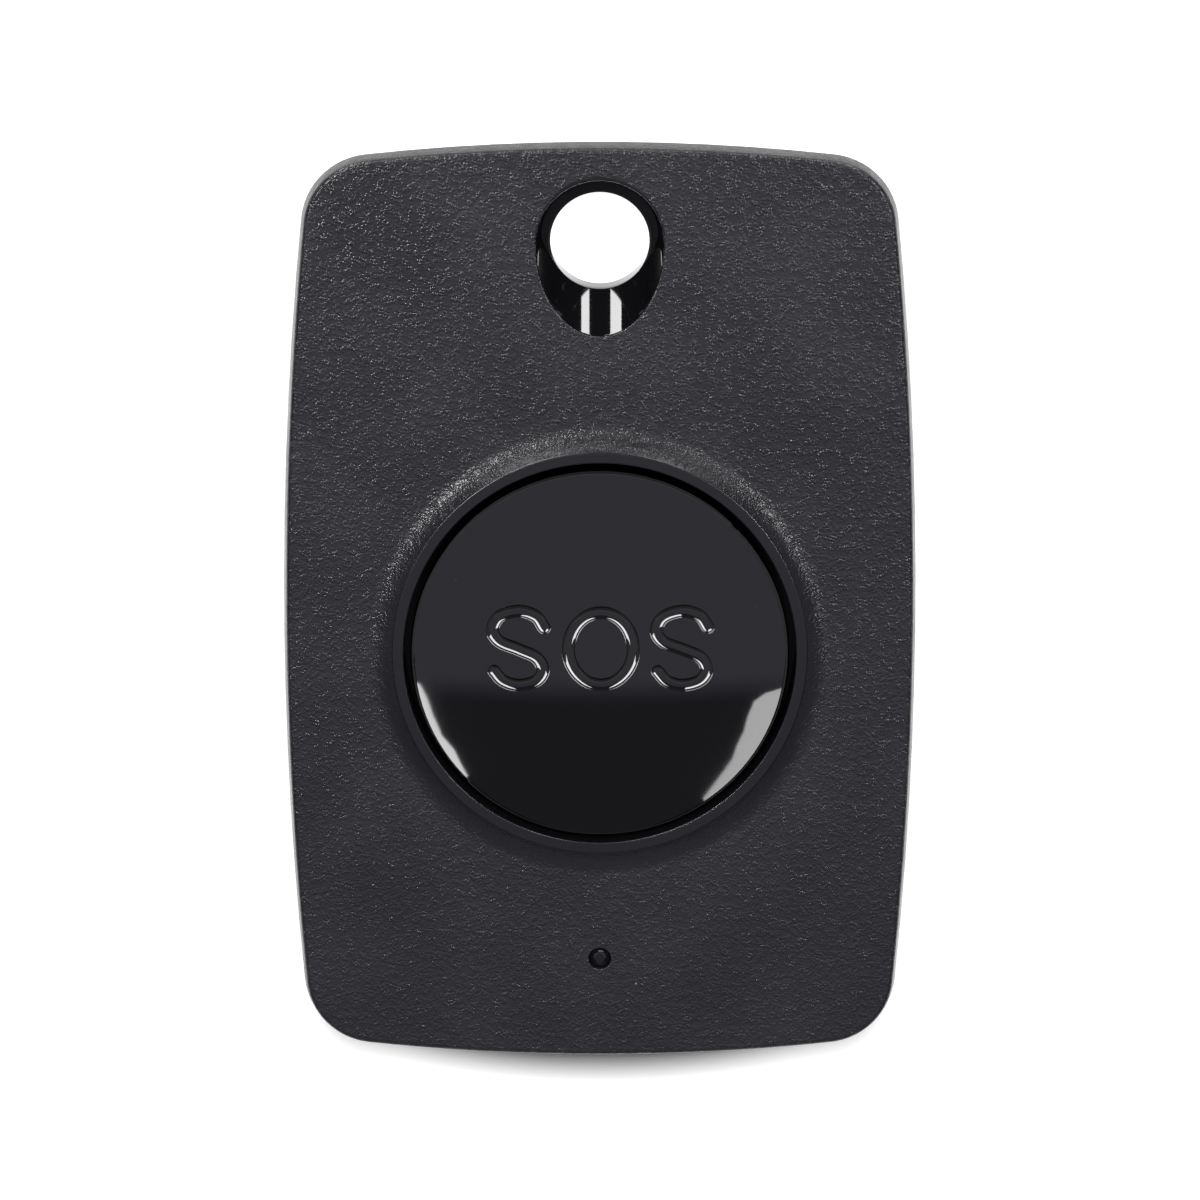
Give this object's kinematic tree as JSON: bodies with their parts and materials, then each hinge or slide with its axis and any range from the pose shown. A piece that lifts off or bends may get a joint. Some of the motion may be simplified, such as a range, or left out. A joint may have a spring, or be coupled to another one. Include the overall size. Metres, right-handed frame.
{
  "type": "wireless panic button",
  "caption": "Flat rounded rectangular radio fob with a raised round push button, a lanyard hole in a scooped recess and a small indicator window",
  "frame": {"origin": "middle of the flat back face, which the button lies on", "axes": "+Z out of the front face, +Y along the length towards the lanyard hole, +X to the right seen from the front"},
  "size_m": [0.0402, 0.06, 0.0137],
  "materials": {
    "housing_black": "moulded ABS, fine spark texture, glossy in the recess",
    "cap_gloss_black": "polished moulded ABS",
    "pipe_smoke": "smoked clear polycarbonate, polished",
    "screw_zinc": "zinc plated",
    "membrane_rubber": "moulded silicone",
    "board_green": "glass fibre board with solder mask",
    "switch_plastic": "moulded nylon",
    "sheet_steel": "stamped bright steel",
    "tinned_metal": "tinned strip",
    "lamp_epoxy": "cast clear epoxy",
    "chip_epoxy": "moulded epoxy",
    "chip_ceramic": "fired ceramic with tinned ends",
    "copper_wire": "enamelled copper",
    "ferrite": "pressed ferrite"
  },
  "bodies": {
    "housing": {"front_cover": "housing_black", "rear_cover": "housing_black", "case_screws": "screw_zinc", "button_membrane": "membrane_rubber", "light_pipe": "pipe_smoke", "circuit_board": "board_green", "switch_base": "switch_plastic", "switch_cover_plate": "sheet_steel", "switch_dome": "sheet_steel", "switch_terminals": "tinned_metal", "status_lamp": "lamp_epoxy", "radio_chip": "chip_epoxy", "crystal_can": "sheet_steel", "antenna_coil": "copper_wire", "matching_coil": "ferrite", "driver_transistor": "chip_epoxy", "chip_resistors": "chip_ceramic", "chip_capacitors": "chip_ceramic", "coin_cell": "sheet_steel", "cell_clip": "tinned_metal", "negative_contact": "tinned_metal"},
    "button": {"button_cap": "cap_gloss_black"},
    "plunger": {"switch_plunger": "switch_plastic"}
  },
  "joints": [
    {"name": "button_press", "type": "slide", "parent": "housing", "child": "button", "axis": [0, 0, -1], "range_m": [0, 0.00035], "stiffness_N_per_m": 3000, "springref_m": -0.0005, "deforming": ["button_membrane"]},
    {"name": "plunger_travel", "type": "slide", "parent": "housing", "child": "plunger", "axis": [0, 0, -1], "range_m": [0, 0.0003], "deforming": ["switch_dome"]}
  ],
  "couplings": [
    {"joint": "plunger_travel", "follows": "button_press", "ratio": 0.85714}
  ]
}
